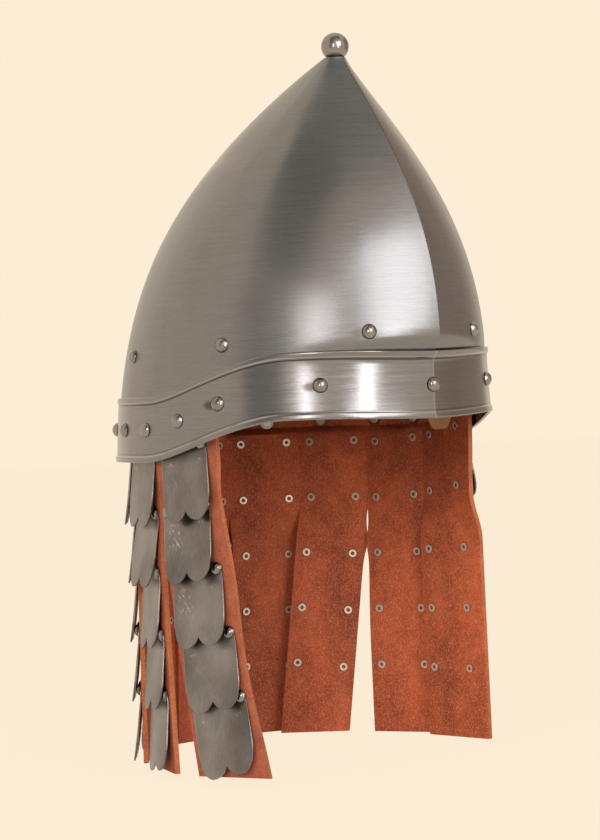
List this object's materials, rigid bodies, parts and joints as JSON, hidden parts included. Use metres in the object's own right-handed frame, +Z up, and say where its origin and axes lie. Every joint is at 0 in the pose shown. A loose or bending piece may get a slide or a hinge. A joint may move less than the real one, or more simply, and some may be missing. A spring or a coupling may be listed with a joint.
{
  "type": "byzantine helmet",
  "caption": "Conical helmet of two welded steel halves with a front keel, an arched brow band, a ball finial, a leather liner and a slit leather neck curtain covered with steel scales.",
  "frame": {"origin": "middle of the head opening, in the plane of the brow band's lower edge at the sides and the back", "axes": "-Y is the front of the helmet, +X the wearer's left, +Z up through the crown"},
  "size_m": [0.2108, 0.2431, 0.408],
  "materials": {
    "skull_steel": "satin, brushed round the skull",
    "band_steel": "polished, streaky along the band",
    "scale_steel": "matte grey with fine scratches",
    "rivet_steel": "polished",
    "dark_steel": "polished, darker",
    "curtain_leather": "red-brown split leather, suede side inwards",
    "suede": "thin tan suede"
  },
  "bodies": {
    "helmet": {"skull_left": "skull_steel", "skull_right": "skull_steel", "brow_band": "band_steel", "finial": "dark_steel", "finial_nut": "dark_steel", "brow_rivets": "rivet_steel", "curtain_rivets": "rivet_steel", "rivet_washers": "rivet_steel", "liner_rivets": "rivet_steel", "liner_washers": "rivet_steel", "liner_band": "suede", "liner_tongues": "suede", "curtain_yoke": "curtain_leather", "yoke_scales": "scale_steel", "yoke_scale_rivets": "rivet_steel"},
    "strap_1_body": {"strap_1": "curtain_leather", "strap_1_scales": "scale_steel", "strap_1_rivets": "rivet_steel"},
    "strap_2_body": {"strap_2": "curtain_leather", "strap_2_scales": "scale_steel", "strap_2_rivets": "rivet_steel"},
    "strap_3_body": {"strap_3": "curtain_leather", "strap_3_scales": "scale_steel", "strap_3_rivets": "rivet_steel"},
    "strap_4_body": {"strap_4": "curtain_leather", "strap_4_scales": "scale_steel", "strap_4_rivets": "rivet_steel"},
    "strap_5_body": {"strap_5": "curtain_leather", "strap_5_scales": "scale_steel", "strap_5_rivets": "rivet_steel"},
    "strap_6_body": {"strap_6": "curtain_leather", "strap_6_scales": "scale_steel", "strap_6_rivets": "rivet_steel"},
    "strap_7_body": {"strap_7": "curtain_leather", "strap_7_scales": "scale_steel", "strap_7_rivets": "rivet_steel"},
    "strap_8_body": {"strap_8": "curtain_leather", "strap_8_scales": "scale_steel", "strap_8_rivets": "rivet_steel"},
    "strap_9_body": {"strap_9": "curtain_leather", "strap_9_scales": "scale_steel", "strap_9_rivets": "rivet_steel"}
  },
  "joints": [
    {"name": "strap_1_swing", "type": "hinge", "parent": "helmet", "child": "strap_1_body", "pos_m": [0.09232, -0.0132, -0.0242], "axis": [-0.1109, -0.9938, 0], "range_deg": [0, 20]},
    {"name": "strap_2_swing", "type": "hinge", "parent": "helmet", "child": "strap_2_body", "pos_m": [0.08937, 0.02878, -0.0288], "axis": [0.2436, -0.9699, 0], "range_deg": [0, 20]},
    {"name": "strap_3_swing", "type": "hinge", "parent": "helmet", "child": "strap_3_body", "pos_m": [0.0717, 0.06692, -0.0288], "axis": [0.5885, -0.8085, 0], "range_deg": [-15, 0]},
    {"name": "strap_4_swing", "type": "hinge", "parent": "helmet", "child": "strap_4_body", "pos_m": [0.04037, 0.09476, -0.0288], "axis": [0.8776, -0.4794, 0], "range_deg": [0, 20]},
    {"name": "strap_5_swing", "type": "hinge", "parent": "helmet", "child": "strap_5_body", "pos_m": [0, 0.10522, -0.0288], "axis": [1, 0, 0], "range_deg": [0, 20]},
    {"name": "strap_6_swing", "type": "hinge", "parent": "helmet", "child": "strap_6_body", "pos_m": [-0.04037, 0.09476, -0.0288], "axis": [0.8776, 0.4794, 0], "range_deg": [0, 20]},
    {"name": "strap_7_swing", "type": "hinge", "parent": "helmet", "child": "strap_7_body", "pos_m": [-0.07111, 0.06772, -0.0288], "axis": [0.5962, 0.8028, 0], "range_deg": [0, 20]},
    {"name": "strap_8_swing", "type": "hinge", "parent": "helmet", "child": "strap_8_body", "pos_m": [-0.08863, 0.03065, -0.0288], "axis": [0.2432, 0.97, 0], "range_deg": [0, 20]},
    {"name": "strap_9_swing", "type": "hinge", "parent": "helmet", "child": "strap_9_body", "pos_m": [-0.09103, -0.00982, -0.0254], "axis": [-0.1982, 0.9802, 0], "range_deg": [0, 20]}
  ]
}
